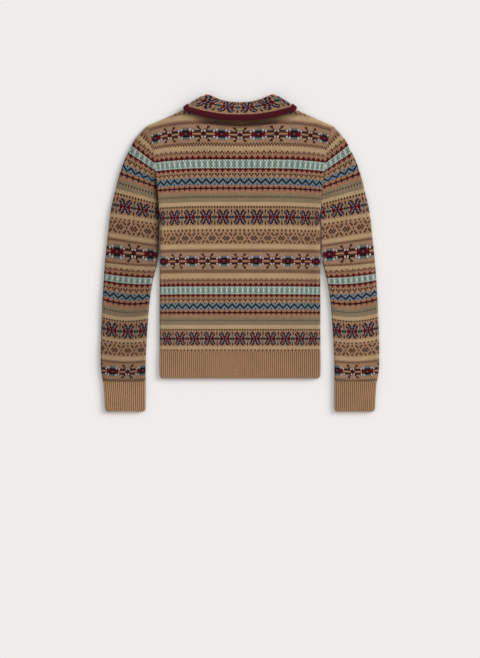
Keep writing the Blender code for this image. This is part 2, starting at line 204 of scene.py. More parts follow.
# how far the rows droop towards the armholes: up, droop at each half
DROOP_HALVES = (0.0, 42.0, 73.5, 105.0, 126.0, 157.5, 182.7, 199.5)
DROOP = (
    (283.0, 0.0, -3.8, -5.9, -5.9, -4.4, -0.4, 6.7, 12.6),
    (266.2, 0.0, -3.4, -5.2, -5.0, -3.8, 0.0, 7.1, 12.6),
    (247.3, 0.0, -2.1, -2.9, -2.6, -1.9, 1.3, 8.2, 14.7),
    (220.0, 0.0, -0.6, -1.3, -0.6, 0.0, 2.5, 7.1, 11.6),
    (186.4, 0.0, 0.0, 0.2, 0.6, 1.7, 4.2, 6.9, 8.8),
    (150.7, 0.0, 0.0, 0.0, 0.6, 1.7, 4.2, 6.7, 8.4),
    (75.1, 0.0, 0.0, 0.0, 0.4, 1.1, 2.3, 3.2, 3.8),
    (-15.2, 0.0, 0.0, 0.0, 0.2, 0.4, 1.3, 1.9, 2.1),
    (-162.2, 0.0, 0.0, 0.0, 0.0, 0.0, 0.0, 0.0, 0.0),
)
# width of a stitch at the body's centre line: up, width
STITCH_WIDTH = (
    (268.3, 3.24), (249.4, 3.21), (194.8, 3.11), (152.8, 2.96), (73.0, 2.96), (26.8, 2.92),
    (-17.3, 2.82), (-78.2, 2.77), (-126.5, 2.74), (-179.0, 2.68), (-204.2, 2.64),
)
EDGE_CROWDING = 0.07      # the stitches crowd this much towards the sides

# rows of the sleeves: row, outer half, outer up, inner half, inner up
SLEEVE_COURSES = (
    (14.0, 195.3, 270.4, 185.8, 255.7), (15.0, 209.0, 255.1, 184.8, 227.6),
    (17, 213.2, 249.8, 184.8, 221.7), (20, 218.4, 241.4, 183.8, 211.6),
    (23, 223.4, 232.6, 182.7, 200.0), (26, 227.2, 224.6, 181.7, 189.5),
    (32, 235.6, 211.2, 179.3, 174.2), (35, 238.8, 203.2, 178.1, 166.4),
    (39, 244.7, 186.4, 176.4, 156.1), (44, 247.8, 172.7, 174.9, 145.2),
    (46.5, 249.9, 165.8, 175.6, 137.7), (50, 254.1, 154.5, 174.1, 128.8),
    (52.5, 256.0, 147.3, 173.5, 121.5), (56, 260.0, 134.3, 172.0, 110.8),
    (59, 262.5, 127.6, 170.9, 103.2), (61, 266.3, 118.5, 170.1, 96.5),
    (66.5, 269.4, 101.7, 168.8, 83.9), (72, 272.6, 85.2, 168.8, 70.0),
    (76, 273.8, 75.5, 168.8, 60.4), (78, 274.3, 69.8, 168.8, 53.2),
    (81.5, 275.3, 58.3, 168.8, 41.1), (86, 277.6, 41.7, 168.0, 24.7),
    (89, 278.7, 34.3, 168.0, 17.5), (92, 279.3, 27.8, 168.0, 11.4),
    (93, 279.7, 24.7, 168.0, 8.9), (98, 282.0, 7.2, 168.0, -2.2),
    (103, 283.5, -12.1, 174.3, -20.3), (107, 284.8, -20.7, 178.1, -29.1),
    (110, 285.0, -27.8, 178.5, -36.6), (113, 285.2, -36.9, 178.9, -45.5),
    (116, 285.4, -43.8, 179.6, -53.0), (122, 285.6, -57.2, 181.7, -65.2),
    (126, 286.2, -68.1, 184.2, -75.1), (129, 286.7, -78.2, 186.3, -85.8),
    (134, 287.3, -89.6, 187.3, -97.1), (140, 288.5, -108.5, 189.4, -113.7),
    (146, 289.4, -126.7, 191.5, -130.3), (149, 290.0, -134.1, 192.8, -137.7),
    (151, 290.4, -141.2, 193.2, -145.0), (156.5, 291.1, -157.4, 194.0, -162.2),
    (162, 291.5, -172.7, 194.5, -176.9), (166, 291.7, -180.9, 194.9, -185.1),
    (168, 291.9, -188.1, 194.9, -191.6), (171.5, 292.1, -199.4, 195.3, -203.0),
    (176, 291.9, -213.5, 195.3, -216.0), (179, 291.9, -221.7, 195.3, -224.0),
    (182, 291.5, -228.0, 196.1, -229.8), (188, 290.4, -245.6, 197.4, -245.0),
    (195, 286.9, -263.4, 197.8, -263.0), (197, 285.6, -269.7, 198.2, -269.7),
    (203, 284.3, -290.3, 198.2, -290.3),
)
# the sleeves' middle stitch, width of a stitch and sag of a row: row, size
SLEEVE_MIDDLE = ((3, 191.1), (20, 200.6), (32, 207.5), (44, 212.1), (56, 217.4), (66.5, 223.4),
                 (98.5, 223.0), (130, 230.0), (156, 235.6), (188, 235.6), (197, 239.4))
SLEEVE_STITCH = ((3, 3.15), (26, 3.11), (66, 3.15), (81, 3.00), (98, 2.96), (130, 2.90),
                 (156, 2.84), (171, 2.79), (188, 2.65), (197, 2.60))
SLEEVE_SAG = ((0, 0.0), (93, 0.0), (104, 1.7), (116, 2.3), (129, 5.0), (136, 6.9), (143, 7.4),
              (150, 6.3), (163, 5.7), (171, 4.2), (188, 3.6), (195, 2.9), (203, 0.0))

COLLAR_STITCH = 3.53
COLLAR_SHIFT = -4.6       # the collar's middle motif lies this far off the centre
# rows of the collar: share of the way from the fold to the trim, row
COLLAR_ROWS = ((-2.0, 42.0), (0.0, 60.1), (0.09, 61.0), (0.87, 72.0), (1.0, 72.9), (1.5, 82.0))
TRIM_STITCH = 3.0
TRIM_ROWS = ((0.0, 0.0), (1.0, 4.0))

# yarns: red, green, blue as seen on the garment
YARNS = {
    "camel": (165, 128, 100),
    "gold": (188, 161, 121),
    "rose": (163, 120, 95),
    "sage": (140, 124, 98),
    "slate": (116, 136, 150),
    # the ribbed bands' own cloth: a darker copy of the rib yarn, painted shade for the valleys
    # between the ribs
    "rib": (136, 102, 74),
    "rib yarn": (199, 158, 121),
    "seam": (110, 80, 58),
    "trim": (82, 21, 33),
    "K": (22, 6, 2),
    "A": (176, 137, 107),
    "E": (158, 141, 114),
    "G": (143, 163, 153),
    "F": (96, 54, 42),
    "R": (84, 6, 17),
    "D": (62, 1, 8),
    "X": (214, 186, 144),
    "Y": (156, 130, 95),
    "M": (40, 5, 12),
    "N": (14, 14, 20),
    "P": (178, 136, 112),
    "C": (226, 206, 184),
    "B": (124, 138, 140),
    "T": (98, 112, 112),
    "S": (80, 90, 94),
    "L": (126, 116, 126),
    "W": (202, 216, 197),
    "V": (98, 120, 122),
}

REPEAT = 90               # rows before the bands start again
# the ground of each band: first row, yarn
GROUND = (
    (0, "camel"), (17, "gold"), (20, "rose"), (26, "V"), (32, "rose"), (35, "camel"),
    (39, "slate"), (44, "rose"), (50, "sage"), (56, "gold"), (59, "camel"), (73, "gold"),
    (76, "camel"), (86, "gold"), (89, "camel"),
)
# the charted motifs: band, its middle rows, stitches in a repeat, and for each
# row, by its distance from the middle, the yarns from the motif's middle
# outwards ("." is the ground)
CHARTS = (
    ("speckle", (18, 57, 74, 87), 2, {1: "YX", 0: "XY"}),
    ("dots", (8,), 2, {8: "KA", 7: "AK"}),
    ("flower", (8,), 24, {0: "RMPPPPPPRRRML",
                          1: "RMFFFFFRRRRRM",
                          2: "NCNNNNNCRLNNN",
                          3: ".LN...LBBCTST",
                          4: "...N......T.T",
                          5: "...NN........"}),
    ("arrow", (28.5,), 4, {8.5: "KAA", 7.5: "AK."}),
    ("sawtooth", (28.5,), 4, {5.5: "R..", 4.5: "RR.", 3.5: "RRR"}),
    ("ladder", (28.5,), 4, {2.5: "VWG", 1.5: "GVW", 0.5: "VGW"}),
    ("zigzag", (39,), 6, {0: "N..N"}),
    ("zigzag", (40,), 6, {0: "NN.."}),
    ("zigzag", (41,), 6, {0: ".NN."}),
    ("zigzag", (42,), 6, {0: "..NN"}),
    ("zigzag", (43,), 6, {0: "N..N"}),
    ("fence", (46,), 4, {1: "D..", 0: "DDD"}),
    ("seeds", (52,), 2, {0: "KE"}),
    ("seeds", (59,), 2, {0: "KA"}),
    ("star", (66,), 12, {0: "MRRRNNN",
                         1: "MLRR.ST",
                         2: "RNLR..T",
                         3: ".NLNR.S",
                         4: ".NNLN.N",
                         5: "..NN..N"}),
    ("seeds", (76,), 3, {0: "KA"}),
    ("lozenge", (81,), 10, {0: "K.K..K",
                            1: ".K....",
                            2: "....K.",
                            3: "K..K.."}),
)
PALE = (".", "A", "E")    # ground and pale yarns, which the darker ones spread over
# how far a band's dark stitches spread over the pale ones beside them, and
# over the next rows
SPREAD = {"dots": (0.12, 0.02), "seeds": (0.12, 0.08), "arrow": (0.12, 0.04),
          "lozenge": (0.08, 0.08), "flower": (0.08, 0.04), "fence": (0.0, 0.1)}
STITCH_SLANT = 0.6        # how far the legs of a stitch rise, in rows
COLLAR_FIRST = 6.0        # the stitch of the star's repeat at the collar's middle motif

# ---------------------------------------------------------------- looks
GAP_SHADE_TONE = (0.46, 0.40, 0.36, 1)      # painted shade: what the gaps between yarns keep of a colour
PAINTED_SHADE_TONE = (0.2, 0.17, 0.15, 1)    # and what a place in full painted shade keeps
HEATHER, DRIFT = 0.25, 0.2            # how far the tone varies, finely and broadly
MOOD, EVERY_OTHER = 0.22, 0.16        # and from stitch to stitch
# scales of the noises: wobble of the stitches' edges, heather, drift, fibres
WOBBLE_SCALE, HEATHER_SCALE, DRIFT_SCALE, FIBRE_SCALE = 2600.0, 1500.0, 22.0, 5200.0
WOOL_LOOK = {"Roughness": 0.93, "Specular IOR Level": 0.1, "Sheen Roughness": 0.45,
             "Sheen Tint": (1.0, 0.95, 0.9, 1.0)}

FLOOR_TONES = ((239, 237, 236), (241, 239, 238))
FLOOR_HALF = 30           # metres
ROOM_LIGHT = (1.0, 0.995, 0.99, 1.0)
ROOM_STRENGTH = 0.665
SUN_FROM = (1.7, 0.8, 1.02)
SUN_STRENGTH = 2.2
SUN_WIDTH = 30            # degrees, which gives the soft edge of the shadows
CAMERA_PLACE = (0.0, -0.1601, 3.846)
CAMERA_LENS, CAMERA_SENSOR = 100.0, 36.0

PIECES = {}
SIDES = (("left", -1), ("right", 1))  # the wearer's


# ---------------------------------------------------------------- shapes
def smooth(t):
    """Ease from 0 to 1."""
    t = np.clip(t, 0.0, 1.0)
    return t * t * (3 - 2 * t)


def grows(at, start, run):
    """0 up to the start, then eased to 1 over the run."""
    return float(smooth((at - start) / run))


def fades(at, start, run):
    """1 up to the start, then eased to 0 over the run."""
    return 1 - grows(at, start, run)


def unit(v):
    """The direction of v."""
    v = np.asarray(v, dtype=float)
    return v / np.linalg.norm(v)


def read(table, at):
    """A table of pairs, read at `at` along straight lines."""
    first, second = zip(*table)
    if first[0] > first[-1]:
        first, second = first[::-1], second[::-1]
    return np.interp(at, first, second)


def through(at, stations, values):
    """A smooth curve through the values at the stations, read at `at`."""
    s = np.asarray(stations, dtype=float)
    v = np.asarray(values, dtype=float)
    slope = np.gradient(v, s, axis=0)
    k = int(np.clip(np.searchsorted(s, at) - 1, 0, len(s) - 2))
    step = s[k + 1] - s[k]
    t = (at - s[k]) / step
    return ((2 * t**3 - 3 * t**2 + 1) * v[k] + (t**3 - 2 * t**2 + t) * step * slope[k]
            + (3 * t**2 - 2 * t**3) * v[k + 1] + (t**3 - t**2) * step * slope[k + 1])


def armhole_half(up):
    """Where the panels end at a height: the side seam or the armhole's edge."""
    if up <= UNDERARM_UP:
        return BODY_HALF
    return float(through(up, [a[0] for a in ARMHOLE], [a[1] for a in ARMHOLE]))


def rounding(s):
    """Height share of a rounded edge, a distance s in from its outline."""
    return math.sqrt(max(0.0, 1 - (1 - min(s, EDGE_ROUND) / EDGE_ROUND) ** 2))


def at_edge(s, length):
    """Height share and inward shift of the wall's inner skin, a distance s across."""
    edge = min(s, length - s)
    return rounding(edge), (WALL * max(0.0, 1 - edge / EDGE_ROUND)
                            * (1 if s < length / 2 else -1))


SHOULDER_DIR = unit(np.subtract(SHOULDER_POINT, NECK_POINT))
SHOULDER_OUT = np.array((-SHOULDER_DIR[1], SHOULDER_DIR[0]))
SHOULDER_LENGTH = float(np.linalg.norm(np.subtract(SHOULDER_POINT, NECK_POINT)))


def from_fold(half, up):
    """Distance and inward direction from the side seam or shoulder, right side."""
    p = np.array((half, up))
    seam = np.array((BODY_HALF, min(up, UNDERARM_UP)))
    along = min(max(float(np.dot(p - NECK_POINT, SHOULDER_DIR)), 0.0), SHOULDER_LENGTH)
    ridge = np.asarray(NECK_POINT) + along * SHOULDER_DIR
    best = None
    for foot, inward in ((seam, np.array((-1.0, 0.0))), (ridge, -SHOULDER_OUT)):
        gap = math.hypot(*(p - foot))
        if best is None or gap < best[0]:
            best = (gap, (p - foot) / gap if gap > 0.01 else inward)
    return best


def lift(half, up):
    """The collar's front fall, lying underneath, raises an oval of both panels."""
    oval_half, oval_up, oval_length = 125.0, 315.0, 105.0
    out = math.hypot(half / oval_half, (up - oval_up) / oval_length)
    return COLLAR_LIFT * fades(out, 1.0, 0.35)


def sag(half, up):
    """How far the back of the collar sinks in the neck opening."""
    return COLLAR_SAG * grows(up, 286.0, 30.0) * fades(abs(half), 30.0, 34.0)


def below_collar(half, up):
    """How far below the rim of the back collar a point lies."""
    return float(read([row[6:] for row in COLLAR_BACK], abs(half))) - up


def hollow(half, up):
    """The panel sinks a little where the collar folds over it."""
    below = below_collar(half, up)
    return (COLLAR_HOLLOW * fades(abs(half), 92.0, 24.0) * grows(below, -12.0, 9.0)
            * fades(below, 3.0, 10.0))


def fold_depth(folds, half, up):
    """Depth of the folds at a point; each is uneven along its length."""
    depth = 0.0
    for k, (top, low, reach, most) in enumerate(folds):
        ax, ay = top
        rx, ry = low[0] - ax, low[1] - ay
        run = rx * rx + ry * ry
        share = ((half - ax) * rx + (up - ay) * ry) / run
        held = min(max(share, 0.0), 1.0)
        off = math.hypot(half - ax - held * rx, up - ay - held * ry)
        if off < reach:
            uneven = 0.8 + 0.2 * math.sin(3.1 * k + share * math.sqrt(run) / 17.0)
            t = 1 - off / reach
            depth += most * uneven * t * t * (3 - 2 * t)
    return depth


WAVE_SIZES = (0.24, 0.22, 0.2, 0.18, 0.16, 0.14, 0.12)
WAVES = [(a, b, c, size) for (a, b), c, size in zip(
    np.random.default_rng(SEED).uniform(-0.075, 0.075, (len(WAVE_SIZES), 2)),
    np.random.default_rng(SEED + 1).uniform(0, 6.28, len(WAVE_SIZES)), WAVE_SIZES)]


def waves(half, up):
    """The low unevenness of cloth that lies loose."""
    return sum(size * math.sin(a * half + b * up + c) for a, b, c, size in WAVES)


def gathers(half, up, rib_up):
    """The knitting puffs a little over the tighter rib."""
    near, full, fade, most = up - rib_up, 8.0, 18.0, 0.28
    if near > full + fade:
        return 0.0
    pucker = math.sin(half / 4.4 + 1.3 * math.sin(half / 21.0))
    return most * grows(near, 0.0, 5.0) * fades(near, full, fade) * (0.6 + 0.8 * pucker)


# ---------------------------------------------------------------- stitch places
def body_stitches(half, up):
    """Stitches across and rows down at points of the back or front."""
    half, up = np.asarray(half), np.asarray(up)
    flat = up.copy()
    ups = [row[0] for row in DROOP][::-1]
    for _ in range(3):
        droop = np.zeros_like(flat)
        columns = [np.interp(flat, ups, [row[i + 1] for row in DROOP][::-1])
                   for i in range(len(DROOP_HALVES))]
        where = np.abs(half)
        for i in range(len(DROOP_HALVES) - 1):
            low, high = DROOP_HALVES[i], DROOP_HALVES[i + 1]
            inside = (where >= low) & ((where < high) | (i == len(DROOP_HALVES) - 2))
            share = (where - low) / (high - low)
            droop = np.where(inside, columns[i] + (columns[i + 1] - columns[i]) * share, droop)
        flat = up + droop
    width = read(STITCH_WIDTH, flat)
    across = half / width * (1 + EDGE_CROWDING * (np.abs(half) / BODY_HALF) ** 4)
    rows, ups = zip(*BODY_ROWS)
    return across, np.interp(-flat, [-u for u in ups], rows)


def sleeve_stitches(half, up):
    """Stitches across and rows down at points of a sleeve, from |half| and up."""
    half, up = np.asarray(half, dtype=float), np.asarray(up, dtype=float)
    lines = np.array(SLEEVE_COURSES)
    sags = read(SLEEVE_SAG, lines[:, 0])
    heights = []
    for (_, out_half, out_up, in_half, in_up), drop in zip(lines, sags):
        share = (out_half - half) / (out_half - in_half)
        held = np.clip(share, -0.4, 1.3)
        bow = 4 * np.clip(share, 0, 1) * (1 - np.clip(share, 0, 1))
        heights.append(out_up + (in_up - out_up) * held - drop * bow)
    heights = np.minimum.accumulate(np.array(heights), axis=0)
    flat_half, flat_up = half.ravel(), up.ravel()
    heights = heights.reshape(len(lines), -1)
    row = np.array([np.interp(-flat_up[i], -heights[:, i], lines[:, 0])
                    for i in range(flat_half.size)])
    run, fall = lines[:, 1] - lines[:, 3], lines[:, 2] - lines[:, 4]
    lean = np.hypot(run, fall) / run
    steep = np.interp(row, lines[:, 0], lean)
    middle = read(SLEEVE_MIDDLE, row)
    across = (flat_half - middle) * steep / read(SLEEVE_STITCH, row)
    return across.reshape(half.shape), row.reshape(half.shape)


# ---------------------------------------------------------------- meshes
def hang(name, data):
    """A new object in the scene."""
    thing = bpy.data.objects.new(name, data)
    bpy.context.scene.collection.objects.link(thing)
    return thing


def add_piece(name, points, faces, places):
    """One closed mesh in metres; `places` gives each face corner its stitch place."""
    mesh = bpy.data.meshes.new(name)
    mesh.from_pydata([tuple(float(c) * MM for c in p) for p in points], [], faces)
    layer = mesh.uv_layers.new(name="stitches")
    flat = np.array([c for face in places for c in face], dtype=np.float32).ravel()
    layer.data.foreach_set("uv", flat)
    bm = bmesh.new()
    bm.from_mesh(mesh)
    bmesh.ops.recalc_face_normals(bm, faces=bm.faces[:])
    bm.to_mesh(mesh)
    bm.free()
    mesh.shade_smooth()
    mesh.set_sharp_from_angle(angle=math.radians(50))
    PIECES[name] = hang(name, mesh)
    return PIECES[name]


def cloth(name, outside, inside, closed, places, material):
    """A wall between two skins, each an array of rows of points."""
    outside, inside = np.asarray(outside, dtype=float), np.asarray(inside, dtype=float)
    rows, count = outside.shape[:2]
    points = np.concatenate([outside.reshape(-1, 3), inside.reshape(-1, 3)])
    back = rows * count
    faces, corners = [], []
    last = count if closed else count - 1

    def add(*at):
        """A face through (skin, row, column) corners."""
        faces.append([skin * back + j * count + i % count for skin, j, i in at])
        corners.append([places[j][i] for _, j, i in at])

    for j in range(rows - 1):
        for i in range(last):
            add((0, j, i), (0, j, i + 1), (0, j + 1, i + 1), (0, j + 1, i))
            add((1, j + 1, i), (1, j + 1, i + 1), (1, j, i + 1), (1, j, i))
    end = rows - 1
    for i in range(last):
        add((0, 0, i), (1, 0, i), (1, 0, i + 1), (0, 0, i + 1))
        add((0, end, i + 1), (1, end, i + 1), (1, end, i), (0, end, i))
    if not closed:
        for j in range(rows - 1):
            add((0, j, 0), (0, j + 1, 0), (1, j + 1, 0), (1, j, 0))
            add((1, j, last), (1, j + 1, last), (0, j + 1, last), (0, j, last))
    piece = add_piece(name, points, faces, corners)
    piece.data.materials.append(material)
    return piece


def spread(stations, spacing):
    """The stations with more between them, none further apart than the spacing."""
    out = [stations[0]]
    for a, b in zip(stations, stations[1:]):
        count = max(1, math.ceil(abs(b - a) / spacing))
        out += [a + (b - a) * (k + 1) / count for k in range(count)]
    return out


# ---------------------------------------------------------------- panels
def panel_point(half, up, side):
    """Outer and inner skin of the back (side 1) or front (side -1)."""
    x = abs(half)
    sign = 1.0 if half >= 0 else -1.0
    away, inward = from_fold(x, up)
    share = rounding(away)
    shift = WALL * max(0.0, 1 - away / EDGE_ROUND) * inward
    level = MID + lift(half, up)
    if side > 0:
        level -= (fold_depth(BACK_FOLDS, half, up) + sag(half, up) + hollow(half, up)
                  - waves(half, up) - gathers(half, up, PANEL_LOW_UP)) * share
    else:
        level += (min(FRONT_DEEPEST, fold_depth(FRONT_FOLDS, half, up)) * FRONT_SHARE) * share
    if up > UNDERARM_UP:
        seam_gap = armhole_half(min(up, PANEL_TOP_UP)) - x
        level -= side * SEAM_DIP * share * fades(seam_gap, 0.0, SEAM_PULL)
    gap = SEAM / 2
    outer = level + side * (gap + (MID - gap) * share)
    inner = level + side * (gap + (CORE - gap) * share)
    if side < 0:
        outer = max(outer, ON_FLOOR)
        inner = max(inner, outer + 0.4 * share + 0.02)
    return (half, up, outer), (sign * (x + shift[0]), up + shift[1], inner)


def panel_columns():
    """The columns' places between the table's own, from the middle outwards."""
    filled = []
    for a, b in zip(COLUMNS, COLUMNS[1:]):
        count = max(2 if b[0] > 163.5 else 1, round((b[0] - a[0]) / PANEL_COLUMN))
        for k in range(count):
            t = k / count
            low, high = a[0] + (b[0] - a[0]) * t, a[1] + (b[1] - a[1]) * t
            necks = []
            for n in (2, 3):
                if a[n] is not None and b[n] is not None:
                    necks.append(a[n] + (b[n] - a[n]) * t)
                else:
                    necks.append(SHOULDER_POINT[1] + (SHOULDER_POINT[0] - high)
                                 * -SHOULDER_DIR[1] / SHOULDER_DIR[0])
            filled.append((low, high, *necks))
    return filled + [(BODY_HALF, *SHOULDER_POINT, SHOULDER_POINT[1])]


def panel(name, side, material):
    """The back (side 1) or front (side -1), as one closed wall."""
    columns = panel_columns()
    top_half = SHOULDER_POINT[0]
    rows = spread([PANEL_LOW_UP, 80.0, UNDERARM_UP, 84.8, 87.0, 90.0, SHOULDER_EASE_UP,
                   259.9, 263.1, 265.5, PANEL_TOP_UP], PANEL_ROW)
    outside, inside = [], []
    for row in rows:
        ease = grows(row, UNDERARM_UP, SHOULDER_EASE_UP - UNDERARM_UP)
        width = armhole_half(row)
        out_row, in_row = [], []
        for sign, column in [(-1, c) for c in columns[:0:-1]] + [(1, c) for c in columns]:
            at_hem, at_top, back_neck, front_neck = column
            share = (1 - ease) * at_hem / BODY_HALF + ease * at_top / top_half
            neck = back_neck if side > 0 else front_neck
            up = row + ease * (neck - SHOULDER_POINT[1])
            out, inn = panel_point(sign * share * width, up, side)
            out_row.append(out)
            in_row.append(inn)
        outside.append(out_row)
        inside.append(in_row)
    across, down = body_stitches(*np.array(outside)[:, :, :2].transpose(2, 0, 1))
    places = np.stack([across, down], axis=-1).tolist()
    return cloth(name, outside, inside, False, places, material)


# ---------------------------------------------------------------- sleeves
def with_ends(turns, inner, length):
    """Steps across a ring: the inner ones, with the turns of a rounded edge at each end."""
    ends = [EDGE_ROUND * (1 - math.cos(math.radians(a))) for a in turns]
    return ends + list(inner) + [length - e for e in reversed(ends)]


def sided(ring, sign):
    """The ring on the wearer's right (sign 1) or left (-1)."""
    return [(sign * x, y, z) for x, y, z in ring]


def armhole_bow(share):
    """How far the armhole's edge leaves the straight line between its ends."""
    out_half, out_up, in_half, in_up = SLEEVE[0]
    up = out_up + (in_up - out_up) * share
    return armhole_half(up) + ARMHOLE_GAP - (out_half + (in_half - out_half) * share)


def sleeve_ring(section, fade, side_name, at_ring):
    """Skins of one section of a sleeve, right side."""
    outer, inner = np.asarray(section[:2]), np.asarray(section[2:])
    length = float(np.linalg.norm(inner - outer))
    tops, lows, tops_in, lows_in = [], [], [], []
    inner_steps = np.linspace(EDGE_ROUND, length - EDGE_ROUND, SLEEVE_STEPS + 1)[1:-1]
    for s in with_ends(EDGE_TURNS, inner_steps, length):
        height, shift = at_edge(s, length)
        for at, top, low, size in ((s, tops, lows, MID), (s + shift, tops_in, lows_in, CORE)):
            share = at / length
            x, y = outer + (inner - outer) * share
            x += fade * armhole_bow(share)
            drop = min(fold_depth(SLEEVE_FOLDS[side_name], x, y), SLEEVE_DEEPEST) * height
            if drop < 1:
                drop += CAP_DIP * height * fades(at_ring, 0.0, SEAM_PULL)
            puff = (waves(x, y + 30.0) + gathers(x, y, CUFF_SEAM_UP)) * height
            top_z = MID + MID * height - drop + puff
            if size == CORE:
                top_z = max(min(MID + CORE * height, top_z - 0.7 * WALL),
                            MID - CORE * height + 0.05)
            top.append((x, y, top_z))
            low.append((x, y, MID - size * height))
    return tops + lows[-2:0:-1], tops_in + lows_in[-2:0:-1]


def sleeve(name, side_name, sign, material):
    """One sleeve, all round, as one closed wall."""
    outside, inside = [], []
    start = (np.array(SLEEVE[0][:2]) + np.array(SLEEVE[0][2:])) / 2
    for k in range(SLEEVE_SECTIONS + 1):
        at = (len(SLEEVE) - 1) * k / SLEEVE_SECTIONS
        section = through(at, range(len(SLEEVE)), SLEEVE)
        middle = (section[:2] + section[2:]) / 2
        out_ring, in_ring = sleeve_ring(section, max(0.0, 1 - at / 2), side_name,
                                        float(np.linalg.norm(middle - start)))
        outside.append(sided(out_ring, sign))
        inside.append(sided(in_ring, sign))
    skin = np.array(outside)
    across, down = sleeve_stitches(np.abs(skin[:, :, 0]), skin[:, :, 1])
    across = np.concatenate([across, across[:, :1]], axis=1) * -sign
    down = np.concatenate([down, down[:, :1]], axis=1)
    places = np.stack([across, down], axis=-1).tolist()
    return cloth(name, outside, inside, True, places, material)


# ---------------------------------------------------------------- ribs
def band_at(sections, up):
    """The low half and the width of a ribbed band at a height."""
    ups = [s[0] for s in sections]
    k = max(0, min(len(ups) - 2, sum(up < u for u in ups) - 1))
    t = (up - ups[k]) / (ups[k + 1] - ups[k])
    low, high = (a + (b - a) * t for a, b in zip(sections[k][1:], sections[k + 1][1:]))
    return low, high - low


def rib_turn(s, width, ribs):
    """How many ribs lie before a place, a distance s across the band."""
    return (s - FIRST_RIB) / ((width - 2 * FIRST_RIB) / ribs)


def rib_ring(low_half, width, up, ribs):
    """Skins of a ribbed ring across the garment, ribbed on both faces."""
    tops, lows, tops_in, lows_in = [], [], [], []
    plain = EDGE_ROUND * (1 - math.cos(math.radians(RIB_EDGE_TURNS[-1])))
    for s in with_ends(RIB_EDGE_TURNS, np.linspace(FIRST_RIB, width - FIRST_RIB, 6 * ribs + 1),
                       width):
        height, shift = at_edge(s, width)
        wave = 0.0
        if min(s, width - s) > plain:
            crest = -math.cos(2 * math.pi * rib_turn(s, width, ribs))
            wave = RIB_DEPTH / 2 * crest * height**2
        tops.append((low_half + s, up, MID + MID * height - RIB_DEPTH / 2 + wave))
        lows.append((low_half + s, up,
                     MID - MID * height + max(0.0, RIB_DEPTH / 2 - wave) * height))
        tops_in.append((low_half + s + shift, up, MID + CORE * height - 0.3 * height))
        lows_in.append((low_half + s + shift, up, MID - CORE * height + 0.3 * height))
    return tops + lows[-2:0:-1], tops_in + lows_in[-2:0:-1]


def rib_band(name, sections, ribs, sign, material):
    """A ribbed band from sections of up, low half and high half."""
    outside, inside, places = [], [], []
    top = sections[0][0]
    for up in spread([s[0] for s in sections], 5.0):
        low, width = band_at(sections, up)
        out_ring, in_ring = rib_ring(low, width, up, ribs)
        row = [(rib_turn(x - low, width, ribs), (top - up) / RIB_ROW) for x, _, _ in out_ring]
        outside.append(sided(out_ring, sign))
        inside.append(sided(in_ring, sign))
        places.append(row + row[:1])
    return cloth(name, outside, inside, True, places, material)


def rib_points(sections, ribs, sign):
    """Where the stitches of the ribs lie: place, way along the rib, way out."""
    top = sections[0][0]
    length = top - sections[-1][0]
    rows = int(length / RIB_ROW)
    found = []
    for j in range(rows):
        up = top - (j + 0.5) * length / rows
        low, width = band_at(sections, up)
        for i in range(-1, ribs + 1):
            s = FIRST_RIB + (i + 0.5) * (width - 2 * FIRST_RIB) / ribs
            height = rounding(min(s, width - s))
            over = MID + MID * height - RIB_DEPTH / 2 + RIB_DEPTH / 2 * height**2
            under = MID - MID * height
            x = sign * (low + s)
            found.append(((x, up, over - TOP_SUNK), (0, 1, 0), (0, 0, 1)))
            found.append(((x, up, under + UNDER_SUNK), (0, 1, 0), (0, 0, -1)))
    return found


# ---------------------------------------------------------------- collar
def collar_row(table, at):
    """The four plan points at a station: the seam follows the panel's straight edges."""
    row = through(at, range(len(table)), table)
    low = min(int(at), len(table) - 2)
    for k in (0, 1):
        row[k] = table[low][k] + (table[low + 1][k] - table[low][k]) * (at - low)
    return row


def collar_stations():
    """Round the neck: side of the body, turn angle and the four plan points."""
    back = [collar_row(COLLAR_BACK, at)
            for at in np.linspace(0, len(COLLAR_BACK) - 1, COLLAR_BACK_STEPS + 1)]
    front = [collar_row(COLLAR_FRONT, at)
             for at in np.linspace(0, len(COLLAR_FRONT) - 1, COLLAR_FRONT_STEPS + 1)]
    half_round = [(90.0, row) for row in back[:-1]]
    half_round += [(angle, back[-1]) for angle in np.linspace(90, -90, COLLAR_TURN_STEPS + 1)]
    half_round += [(-90.0, row) for row in front[1:]]
    right = [(1.0, angle, row) for angle, row in half_round]
    left = [(-1.0, angle, row) for angle, row in half_round[-2:0:-1]]
    return right + left


def place(sign, angle, plan, level, reach):
    """A point of the collar from its plan position and height over the middle."""
    turn = math.radians(angle)
    share, more = reach
    out = SHOULDER_OUT * (level * share + more) * max(0.0, math.cos(turn))
    x, y = plan[0] + out[0], plan[1] + out[1]
    z = MID + COLLAR_LIFT + level * math.sin(turn)
    if angle > 80:
        z -= sag(x, y)
    return (sign * x, y, z)


def between(one, other, share):
    """A turn's reach part of the way from one line of the collar to another."""
    return tuple(a + (b - a) * share for a, b in zip(TURN_REACH[one], TURN_REACH[other]))


